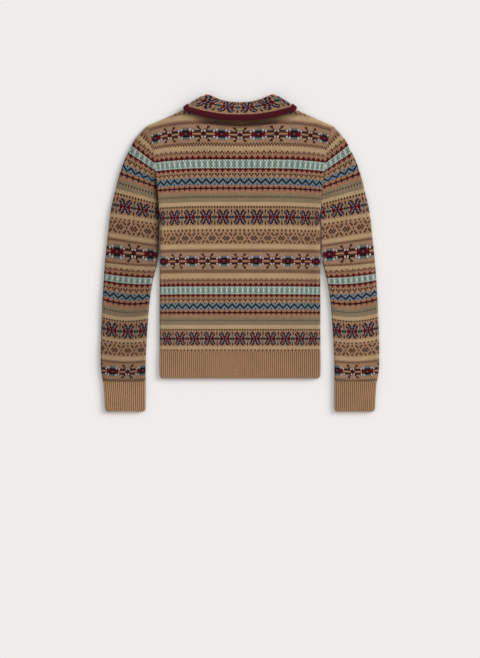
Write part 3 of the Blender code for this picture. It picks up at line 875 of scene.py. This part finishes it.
def collar_section(row, angle):
    """Plan point, level, reach and way across of both skins, neck seam to fall's edge."""
    seam, fold, edge = (np.array(row[i:i + 2]) for i in (0, 2, 4))
    out = unit(fold - (seam + edge) / 2)
    seam = seam + BAND_LAP * unit(fold - seam)
    bend = (STAND_LOW + FALL_LOW + COLLAR_WALL) / 2
    big = FALL_LOW + COLLAR_WALL - bend
    small = FALL_LOW - bend
    centre = fold - big * out
    low_skin, high_skin = [], []
    for share in np.linspace(0.0, 0.9, 5):
        at, reach = seam + (centre - seam) * share, between("seam", "fold", share)
        low_skin.append((at, STAND_LOW, reach, -2.0 + 1.9 * share))
        high_skin.append((at, STAND_LOW + COLLAR_WALL, reach, -2.0 + 1.9 * share))
    rise = COLLAR_RISE * max(0.0, math.sin(math.radians(angle)))
    for bow in np.linspace(-90, 90, 9):
        c, s = math.cos(math.radians(bow)), math.sin(math.radians(bow))
        way = 0.15 * (1 - c) * (1 if s > 0 else -1)
        low_skin.append((centre + out * big * c, bend + big * s, TURN_REACH["fold"], way))
        high_skin.append((centre + out * small * c, bend + small * s, TURN_REACH["fold"], way))
    for share in np.linspace(0.125, 1.0, 8):
        at, reach = centre + (edge - centre) * share, between("fold", "edge", share)
        crown = COLLAR_CROWN * math.sin(math.pi * share) + rise * float(smooth(share))
        low_skin.append((at, FALL_LOW + COLLAR_WALL + crown, reach, 0.15 + 0.85 * share))
        high_skin.append((at, FALL_LOW + crown, reach, 0.15 + 0.85 * share))
    return low_skin, high_skin


def trim_section(row, angle):
    """Plan point, level, reach and way across of both skins of the rounded trim band."""
    edge, rim = np.array(row[4:6]), np.array(row[6:8])
    edge = edge + BAND_LAP * unit(rim - edge)
    under, over = [], []
    upward = max(0.0, math.sin(math.radians(angle)))
    level = FALL_LOW + COLLAR_RISE * upward
    plump = 1 + TRIM_PLUMP * upward if angle > 0 else TRIM_FLAT
    for share, thick in TRIM_SHAPE:
        at, reach = edge + (rim - edge) * share, between("edge", "rim", share)
        under.append((at, level, reach, share))
        over.append((at, level + thick * plump, reach, share))
    return over, under


def lengths_along(line):
    """How far each point of a line lies from its first."""
    steps = np.linalg.norm(np.diff(line, axis=0), axis=1)
    return np.concatenate([[0.0], np.cumsum(steps)])


def neck_ring(name, section, stitch, rows, material):
    """A band round the neck, with stitch places along and across it; its outer skin."""
    skins, ways = [[], []], []
    for sign, angle, row in collar_stations():
        both = section(row, angle)
        for skin, points in zip(skins, both):
            skin.append([place(sign, angle, *point[:3]) for point in points])
        ways.append([point[3] for point in both[0]])
    outside, inside = (np.array(skin).transpose(1, 0, 2) for skin in skins)
    middle = outside[-6]
    along = lengths_along(np.concatenate([middle, middle[:1]]))
    along = np.where(along > along[-1] * 0.5, along - along[-1], along)
    places = [[((at - COLLAR_SHIFT) / stitch + COLLAR_FIRST, float(read(rows, way[j])))
               for at, way in zip(along, ways + ways[:1])] for j in range(len(outside))]
    mend_turn(cloth(name, outside, inside, True, places, material))
    return outside


def mend_turn(piece):
    """Stitch places never jump within a face, also where the ring closes."""
    layer = piece.data.uv_layers["stitches"].data
    whole = max(c.uv[0] for c in layer) - min(c.uv[0] for c in layer)
    for face in piece.data.polygons:
        across = [layer[i].uv[0] for i in face.loop_indices]
        if max(across) - min(across) > whole / 2:
            for i in face.loop_indices:
                if layer[i].uv[0] < 0:
                    layer[i].uv[0] += whole


# ---------------------------------------------------------------- materials
def linear(colour):
    """Scene colour of red, green, blue as seen."""
    out = []
    for part in colour:
        c = part / 255.0
        out.append(c / 12.92 if c <= 0.04045 else ((c + 0.055) / 1.055) ** 2.4)
    return (*out, 1.0)


class Nodes:
    """Adds nodes to a tree and joins them."""

    def __init__(self, tree):
        self.tree = tree

    def put(self, target, value):
        """Joins an output to the target, or sets the target to a plain value."""
        if isinstance(value, bpy.types.NodeSocket):
            self.tree.links.new(value, target)
        else:
            target.default_value = value

    def node(self, kind, inputs=None, **settings):
        made = self.tree.nodes.new(kind)
        for key, value in settings.items():
            setattr(made, key, value)
        for key, value in (inputs or {}).items():
            self.put(made.inputs[key], value)
        return made

    def math(self, operation, *values):
        return self.node("ShaderNodeMath", dict(enumerate(values)), operation=operation).outputs[0]

    def plus(self, *values):
        return self.math("ADD", *values)

    def less(self, *values):
        return self.math("SUBTRACT", *values)

    def times(self, *values):
        return self.math("MULTIPLY", *values)


class Look(Nodes):
    """The nodes of a new material."""

    def __init__(self, name):
        self.material = bpy.data.materials.new(name)
        self.material.use_nodes = True
        super().__init__(self.material.node_tree)
        self.skin = self.tree.nodes["Principled BSDF"]

    def mix(self, share, one, other, blend="MIX"):
        return self.node("ShaderNodeMix", {0: share, 6: one, 7: other}, data_type="RGBA",
                         blend_type=blend).outputs[2]

    def steps(self, factor, stops):
        """Colour and cover of a ramp that holds each from its stop to the next."""
        made = self.node("ShaderNodeValToRGB", {0: factor})
        ramp = made.color_ramp
        ramp.interpolation = "CONSTANT"
        ramp.elements.remove(ramp.elements[1])
        ramp.elements[0].position, ramp.elements[0].color = 0.0, stops[0][1]
        for at, colour in stops[1:]:
            ramp.elements.new(at).color = colour
        return made.outputs[0], made.outputs[1]

    def noise(self, scale, detail=2.0):
        where = self.node("ShaderNodeTexCoord").outputs["Object"]
        return self.node("ShaderNodeTexNoise", {"Scale": scale, "Detail": detail,
                                                "Vector": where}).outputs[0]

    def swing(self, source, size):
        """A source of 0 to 1 turned into one that swings about 0, by a size in all."""
        return self.times(self.less(source, 0.5), size)

    def stitch_map(self):
        """The stitch place at a point: across and down."""
        layer = self.node("ShaderNodeUVMap", uv_map="stitches")
        return self.node("ShaderNodeSeparateXYZ", {0: layer.outputs[0]}).outputs[:2]


def stitch_grid(net):
    """The stitch and row at a point, and the plump legs of each stitch."""
    u, v = net.stitch_map()
    across = net.plus(net.plus(u, 0.5), net.swing(net.noise(WOBBLE_SCALE, 1.0), 0.14))
    stitch = net.math("FLOOR", across)
    leg = net.math("ABSOLUTE", net.less(net.times(net.less(across, stitch), 2.0), 1.0))
    down = net.plus(v, net.swing(leg, STITCH_SLANT))
    row = net.math("FLOOR", down)
    off_leg = net.less(net.times(leg, 2.0), 1.0)
    plump = net.less(1.0, net.times(off_leg, off_leg))
    off_row = net.less(net.times(net.less(down, row), 2.0), 1.0)
    ends = net.less(1.0, net.times(net.times(off_row, off_row), 0.55))
    rise = net.times(net.math("POWER", plump, 0.6), ends)
    return across, down, stitch, row, rise


def wool(net, colour, rise, shade=0.5, sheen=0.08, depth=0.0009, mood=None):
    """Finishes a knitted surface: painted shade in the gaps and where points are marked shaded,
    heathered yarn, fuzz and sheen.
    """
    # painted shade: the colour darkens in the gaps between the yarns, by the stitches' relief
    deep = net.mix(1.0, colour, GAP_SHADE_TONE, "MULTIPLY")
    lit = net.math("MINIMUM", net.plus(net.times(rise, shade), 1.0 - shade), 1.0)
    body = net.mix(lit, deep, colour)
    tone = net.plus(net.swing(net.noise(HEATHER_SCALE, 3.0), HEATHER),
                    net.swing(net.noise(DRIFT_SCALE), DRIFT))
    if mood is not None:
        tone = net.plus(tone, mood)
    # painted shade where the points are marked: under the collar and on the left sleeve
    painted_shade = net.node("ShaderNodeAttribute", attribute_name="painted_shade").outputs["Fac"]
    dark = net.mix(1.0, body, PAINTED_SHADE_TONE, "MULTIPLY")
    toned = net.node("ShaderNodeHueSaturation", {"Value": net.plus(tone, 1.0),
                                                 "Color": net.mix(painted_shade, body, dark)})
    fibres = net.times(net.noise(FIBRE_SCALE), 0.35)
    bump = net.node("ShaderNodeBump", {"Strength": 0.55, "Distance": depth,
                                       "Height": net.plus(rise, fibres)})
    look = {"Base Color": toned.outputs[0], "Normal": bump.outputs[0], "Sheen Weight": sheen}
    for label, value in {**look, **WOOL_LOOK}.items():
        net.put(net.skin.inputs[label], value)
    return net.material


def banded_knit(name, star_shift=0):
    """The charted bands: each stitch takes the yarn that its row and place call for."""
    net = Look(name)
    across, down, stitch, row, rise = stitch_grid(net)
    factor = net.math("DIVIDE", net.plus(net.math("FLOORED_MODULO", row, REPEAT), 0.5), REPEAT)
    colour, _ = net.steps(factor, [(first / REPEAT, linear(YARNS[yarn])) for first, yarn in GROUND])
    star_across = across
    if star_shift:
        early = net.math("LESS_THAN", row, REPEAT)
        star_across = net.plus(across, net.times(early, star_shift))
    in_repeat = net.math("FLOORED_MODULO", down, REPEAT)
    for band, middles, repeat, chart in CHARTS:
        half = repeat // 2
        source = star_across if band == "star" else across
        turned = net.math("FLOORED_MODULO", net.plus(source, half), repeat)
        from_middle = net.math("ABSOLUTE", net.less(turned, half + 0.5))
        spread_by, spread_rows = SPREAD.get(band, (0.0, 0.0))
        for middle in middles:
            from_row = net.math("ABSOLUTE", net.less(in_repeat, middle + 0.5))
            for off, yarns in chart.items():
                here = net.math("COMPARE", from_row, off, 0.5 + spread_rows)
                at = net.math("DIVIDE", net.plus(from_middle, 0.5), len(yarns))
                tone, covers = net.steps(at, chart_stops(yarns, spread_by))
                colour = net.mix(net.times(here, covers), colour, tone)
    return wool(net, colour, rise, shade=0.8, mood=stitch_mood(net, stitch, row))


def chart_stops(yarns, spread_by):
    """Where each yarn of a charted row begins, and its colour; the ground is clear."""
    stops, last = [], None
    for i, yarn in enumerate(yarns):
        if yarn != last:
            edge = i + (spread_by if yarn in PALE else -spread_by if last in PALE else 0.0)
            tone = (0, 0, 0, 0) if yarn == "." else linear(YARNS[yarn])
            stops.append((max(0.0, edge) / len(yarns), tone))
            last = yarn
    return stops


def stitch_mood(net, stitch, row):
    """No two stitches are the same tone, and every other one is a little lighter."""
    spot = net.node("ShaderNodeCombineXYZ", {0: stitch, 1: row}).outputs[0]
    chance = net.node("ShaderNodeTexWhiteNoise", noise_dimensions="2D")
    net.put(chance.inputs["Vector"], spot)
    every_other = net.math("FLOORED_MODULO", net.plus(stitch, row), 2.0)
    return net.plus(net.swing(chance.outputs[0], MOOD), net.swing(every_other, EVERY_OTHER))


def rib_knit(name, yarn):
    """Plain ribs: painted shade between the ribs, with the purl loops showing there."""
    net = Look(name)
    u, v = net.stitch_map()
    wave = net.math("COSINE", net.times(u, 2 * math.pi))
    crest = net.less(0.5, net.times(wave, 0.5))
    loops = net.math("SINE", net.times(v, 4 * math.pi))
    rise = net.math("MAXIMUM", net.plus(net.times(crest, 0.8), net.times(loops, 0.12)), 0.0)
    return wool(net, linear(YARNS[yarn]), rise, shade=0.95, depth=0.0006)


def plain_yarn(name, yarn, sheen=0.08):
    """Yarn of the modelled stitches: twisted plies and fuzz."""
    net = Look(name)
    where = net.node("ShaderNodeTexCoord").outputs["Object"]
    twist = net.node("ShaderNodeTexWave", {"Scale": 900.0, "Distortion": 2.0, "Vector": where},
                     wave_type="BANDS", bands_direction="DIAGONAL")
    rise = net.plus(net.times(twist.outputs[1], 0.5), 0.5)
    return wool(net, linear(YARNS[yarn]), rise, shade=0.2, sheen=sheen, depth=0.0003)


# ---------------------------------------------------------------- modelled stitches
# a leg of a stitch: place across and along it in stitches, share of the leg's rise
LEG = {"Start": (0.07, -0.52, 0.0), "Middle": (0.34, -0.12, 1.0), "End": (0.30, 0.55, 0.0)}


def stitch_tree():
    """A node tree that lays one knitted stitch on every point it is given.

    Each stitch has two legs that meet at its foot.  The points carry "wale",
    the way the knitting grows, and "face", the way out of the cloth.
    """
    tree = bpy.data.node_groups.new("knitted_stitches", "GeometryNodeTree")
    for label, kind, value in (
            ("Geometry", "Geometry", None), ("Stitch Width", "Float", 0.003),
            ("Stitch Height", "Float", 0.003), ("Yarn Thickness", "Float", 0.001),
            ("Leg Rise", "Float", 0.0004), ("Unevenness", "Float", 0.06),
            ("Seed", "Int", SEED), ("Yarn", "Material", None)):
        socket = tree.interface.new_socket(label, in_out="INPUT", socket_type="NodeSocket" + kind)
        if value is not None:
            socket.default_value = value
    tree.interface.new_socket("Geometry", in_out="OUTPUT", socket_type="NodeSocketGeometry")

    net = Nodes(tree)
    given = net.node("NodeGroupInput").outputs

    profile = net.node("GeometryNodeCurvePrimitiveCircle",
                       {"Resolution": 5, "Radius": net.times(given["Yarn Thickness"], 0.5)},
                       mode="RADIUS")
    both = net.node("GeometryNodeJoinGeometry")
    for side in (-1.0, 1.0):
        path = net.node("GeometryNodeCurveQuadraticBezier", {"Resolution": 2})
        for socket, (x, y, rise) in LEG.items():
            spot = net.node("ShaderNodeCombineXYZ", {
                0: net.times(given["Stitch Width"], side * x),
                1: net.times(given["Stitch Height"], y), 2: net.times(given["Leg Rise"], rise)})
            net.put(path.inputs[socket], spot.outputs[0])
        leg = net.node("GeometryNodeCurveToMesh", {
            "Curve": path.outputs[0], "Profile Curve": profile.outputs[0], "Fill Caps": True})
        net.put(both.inputs[0], leg.outputs[0])

    face, wale = (net.node("GeometryNodeInputNamedAttribute", {"Name": label},
                           data_type="FLOAT_VECTOR").outputs[0] for label in ("face", "wale"))
    outward = net.node("FunctionNodeAlignRotationToVector", {"Vector": face}, axis="Z")
    onward = net.node("FunctionNodeAlignRotationToVector",
                      {"Rotation": outward.outputs[0], "Vector": wale}, axis="Y", pivot_axis="Z")
    uneven = net.node("FunctionNodeRandomValue", {
        2: net.less(1.0, given["Unevenness"]), 3: net.plus(1.0, given["Unevenness"]),
        "Seed": given["Seed"]}, data_type="FLOAT")
    laid = net.node("GeometryNodeInstanceOnPoints", {
        "Points": given["Geometry"], "Instance": both.outputs[0],
        "Rotation": onward.outputs[0], "Scale": uneven.outputs[1]})
    real = net.node("GeometryNodeRealizeInstances", {0: laid.outputs[0]})
    soft = net.node("GeometryNodeSetShadeSmooth", {0: real.outputs[0]})
    dyed = net.node("GeometryNodeSetMaterial",
                    {"Geometry": soft.outputs[0], "Material": given["Yarn"]})
    net.put(net.node("NodeGroupOutput").inputs[0], dyed.outputs[0])
    return tree


def lay_stitches(name, tree, points, sizes):
    """Runs the stitch tree over the points and keeps the plain mesh."""
    mesh = bpy.data.meshes.new(name + "_points")
    mesh.from_pydata([tuple(c * MM for c in p[0]) for p in points], [], [])
    for label, k in (("wale", 1), ("face", 2)):
        layer = mesh.attributes.new(label, "FLOAT_VECTOR", "POINT")
        layer.data.foreach_set("vector", np.array([p[k] for p in points], dtype=np.float32).ravel())
    holder = hang(name + "_points", mesh)
    modifier = holder.modifiers.new("stitches", "NODES")
    modifier.node_group = tree
    for item in tree.interface.items_tree:
        if item.item_type == "SOCKET" and item.in_out == "INPUT" and item.name in sizes:
            modifier[item.identifier] = sizes[item.name]
    seen = holder.evaluated_get(bpy.context.evaluated_depsgraph_get())
    made = bpy.data.meshes.new_from_object(seen)
    made.name = name
    PIECES[name] = hang(name, made)
    bpy.data.objects.remove(holder, do_unlink=True)
    bpy.data.meshes.remove(mesh)


def seam_points(sign):
    """A line of linked stitches in the groove of one armhole, on the upper side."""
    found = []
    ease, step = 0.2, 2.9
    low = 3.6 if sign < 0 else 2.0
    for up in np.arange(UNDERARM_UP + 4.0, PANEL_TOP_UP - 4.0, step):
        half = armhole_half(up) + ease
        ahead = armhole_half(min(up + 1.0, PANEL_TOP_UP)) + ease
        way = unit((sign * (ahead - half), 1.0, 0.0))
        spot = (sign * half, up, FLAT_HEIGHT - low + lift(half, up))
        found.append((spot, tuple(way), (0, 0, 1)))
    return found


def trim_points(skin, stitch, rows):
    """Stitches over the outer skin of the trim, in rows that follow its edge."""
    found = []
    count = skin.shape[1]
    ring = np.concatenate([skin, skin[:, :1]], axis=1)
    middle = ring[len(TRIM_SHAPE) // 2]
    lengths = lengths_along(middle)
    total = lengths[-1]
    number = int(total / stitch)
    for k in range(number):
        at = (k + 0.5) * total / number
        i = int(np.clip(np.searchsorted(lengths, at) - 1, 0, count - 1))
        t = (at - lengths[i]) / (lengths[i + 1] - lengths[i])
        column = ring[:, i] + (ring[:, i + 1] - ring[:, i]) * t
        onward = unit(middle[i + 1] - middle[i])
        deep = lengths_along(column)
        for j in range(rows):
            s = deep[-1] * (j + 0.5) / rows
            m = int(np.clip(np.searchsorted(deep, s) - 1, 0, len(column) - 2))
            share = (s - deep[m]) / (deep[m + 1] - deep[m])
            spot = column[m] + (column[m + 1] - column[m]) * share
            down = unit(column[m + 1] - column[m])
            out = unit(np.cross(onward, down))
            if out[2] * (1 if skin[2, i % count, 2] > MID else -1) < -0.2:
                out = -out
            sunk = TOP_SUNK if out[2] > 0 else UNDER_SUNK
            found.append((tuple(spot - sunk * out), tuple(-down), tuple(out)))
    return found


def paint_shade(piece, rule):
    """Marks how much painted shade each point of a piece takes, 0 to 1."""
    layer = piece.data.attributes.new("painted_shade", "FLOAT", "POINT")
    layer.data.foreach_set("value", [rule(v.co.x / MM, v.co.y / MM, v.co.z / MM)
                                     for v in piece.data.vertices])


def painted_collar_shadow(half, up, height):
    """Painted shadow on the back panel, darkest in the hollow below the collar's rim."""
    darkest, collar_half = 0.9, 118.0
    if height < MID or abs(half) > collar_half:
        return 0.0
    ends = 1 - 0.6 * grows(abs(half), 60.0, 56.0)
    return darkest * ends * fades(below_collar(half, up), 11.5, 5.5)


def painted_crease_shade(half, up, _):
    """Painted shade on the left sleeve, darkest where it goes under the edge of the body, and light
    over all of it.
    """
    away = abs(half) - armhole_half(min(up, PANEL_TOP_UP))
    along = fades(up, 130.0, 60.0) * grows(up, -60.0, 60.0)
    near, wide = fades(away, 2.0, 10.0), fades(away, 4.0, 26.0)
    # painted shade over the whole left sleeve, stronger over its lower part
    all_over = 0.17 + 0.08 * fades(up, 0.0, 120.0)
    return all_over + along * (0.55 * near + 0.28 * wide)


# ---------------------------------------------------------------- the garment
knit = banded_knit("banded_knit_body")
sleeve_knit = banded_knit("banded_knit_sleeves", star_shift=6)
collar_knit = banded_knit("banded_knit_collar")
rib = rib_knit("camel_rib", "rib")
rib_yarn = plain_yarn("camel_rib_yarn", "rib yarn")
trim_band = rib_knit("burgundy_trim", "trim")
trim_yarn = plain_yarn("burgundy_trim_yarn", "trim", sheen=0.05)
seam_yarn = plain_yarn("camel_seam_yarn", "seam")

panel("back_panel", 1, knit)
panel("front_panel", -1, knit)
for side_name, sign in SIDES:
    sleeve("sleeve_knit_" + side_name, side_name, sign, sleeve_knit)
# painted shadow under the collar and painted shade on the left sleeve
paint_shade(PIECES["back_panel"], painted_collar_shadow)
paint_shade(PIECES["sleeve_knit_left"], painted_crease_shade)
hem_sections = [(up, -half, half) for up, half in HEM]
cuff_sections = [(up, inner, outer) for up, outer, inner in CUFF]
rib_band("hem_band", hem_sections, HEM_RIBS, 1, rib)
for side_name, sign in SIDES:
    rib_band("cuff_band_" + side_name, cuff_sections, CUFF_RIBS, sign, rib)
neck_ring("collar_knit", collar_section, COLLAR_STITCH, COLLAR_ROWS, collar_knit)
trim_skin = neck_ring("collar_trim_band", trim_section, TRIM_STITCH, TRIM_ROWS, trim_band)

stitches = stitch_tree()
rib_stitch = {"Stitch Width": 2.9 * MM, "Stitch Height": RIB_ROW * MM, "Yarn Thickness": 1.05 * MM,
              "Leg Rise": 0.5 * MM, "Unevenness": 0.05, "Seed": SEED, "Yarn": rib_yarn}
trim_stitch = {**rib_stitch, "Stitch Width": 3.3 * MM, "Stitch Height": 3.3 * MM,
               "Yarn Thickness": 1.2 * MM, "Yarn": trim_yarn}
seam_stitch = {**rib_stitch, "Stitch Width": 2.2 * MM, "Yarn Thickness": 0.8 * MM,
               "Yarn": seam_yarn}
hem_points = rib_points(hem_sections, HEM_RIBS, 1)
lay_stitches("hem_rib_stitches_back", stitches, hem_points[0::2], rib_stitch)
lay_stitches("hem_rib_stitches_front", stitches, hem_points[1::2], rib_stitch)
for side_name, sign in SIDES:
    lay_stitches("cuff_rib_stitches_" + side_name, stitches,
                 rib_points(cuff_sections, CUFF_RIBS, sign), rib_stitch)
lay_stitches("trim_stitches", stitches, trim_points(trim_skin, TRIM_STITCH, 4), trim_stitch)
for side_name, sign in SIDES:
    lay_stitches("armhole_stitches_" + side_name, stitches, seam_points(sign), seam_stitch)

# piece, CAD node that it stands for, slot, flat width and length in metres,
# pieces that it rests on, pieces on it
SHEETS = (
    ("back_panel", "back", "body_knit", (0.391, 0.516), ("front_panel",), ()),
    ("front_panel", "front", "body_knit", (0.391, 0.516), (), ()),
    ("sleeve_knit_left", "sleeve_left", "body_knit", (0.40, 0.46), (),
     ("armhole_stitches_left",)),
    ("sleeve_knit_right", "sleeve_right", "body_knit", (0.40, 0.46), (),
     ("armhole_stitches_right",)),
    ("hem_band", "hem_rib", "rib_knit", (0.70, 0.058), (),
     ("hem_rib_stitches_back", "hem_rib_stitches_front")),
    ("cuff_band_left", "cuff_left", "rib_knit", (0.19, 0.063), (), ("cuff_rib_stitches_left",)),
    ("cuff_band_right", "cuff_right", "rib_knit", (0.19, 0.063), (),
     ("cuff_rib_stitches_right",)),
    ("collar_knit", "collar", "collar_knit", (0.50, 0.060), ("back_panel",), ()),
    ("collar_trim_band", "collar_trim", "trim_knit", (0.56, 0.016), ("back_panel",),
     ("trim_stitches",)),
)


for name, node, slot, flat, rests, on_it in SHEETS:
    piece = PIECES[name]
    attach(piece, "root")
    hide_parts(node)
    for other in on_it:
        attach(PIECES[other], "root")

# ---------------------------------------------------------------- floor, light, camera
floor_look = Look("pale_floor")
tint = floor_look.plus(floor_look.swing(floor_look.noise(9.0, 3.0), 0.004), 0.5)
floor_tone = floor_look.mix(tint, *(linear(tone) for tone in FLOOR_TONES))
for label, value in (("Base Color", floor_tone), ("Roughness", 0.9), ("Specular IOR Level", 0.0)):
    floor_look.put(floor_look.skin.inputs[label], value)
floor_mesh = bpy.data.meshes.new("floor")
floor_mesh.from_pydata([(x * FLOOR_HALF, y * FLOOR_HALF, 0)
                        for x, y in ((-1, -1), (1, -1), (1, 1), (-1, 1))], [], [(0, 1, 2, 3)])
floor_mesh.materials.append(floor_look.material)
hang("floor", floor_mesh)

world = bpy.data.worlds.new("soft_room")
world.use_nodes = True
background = world.node_tree.nodes["Background"]
background.inputs[0].default_value = ROOM_LIGHT
background.inputs[1].default_value = ROOM_STRENGTH
bpy.context.scene.world = world

sun_data = bpy.data.lights.new("window_light", "SUN")
sun_data.energy = SUN_STRENGTH
sun_data.angle = math.radians(SUN_WIDTH)
sun = hang("window_light", sun_data)
sun.rotation_euler = Vector(SUN_FROM).to_track_quat("Z", "Y").to_euler()

camera_data = bpy.data.cameras.new("camera")
camera_data.lens = CAMERA_LENS
camera_data.sensor_width = CAMERA_SENSOR
camera = hang("camera", camera_data)
camera.location = CAMERA_PLACE
bpy.context.scene.camera = camera
bpy.context.scene.view_settings.view_transform = "Standard"
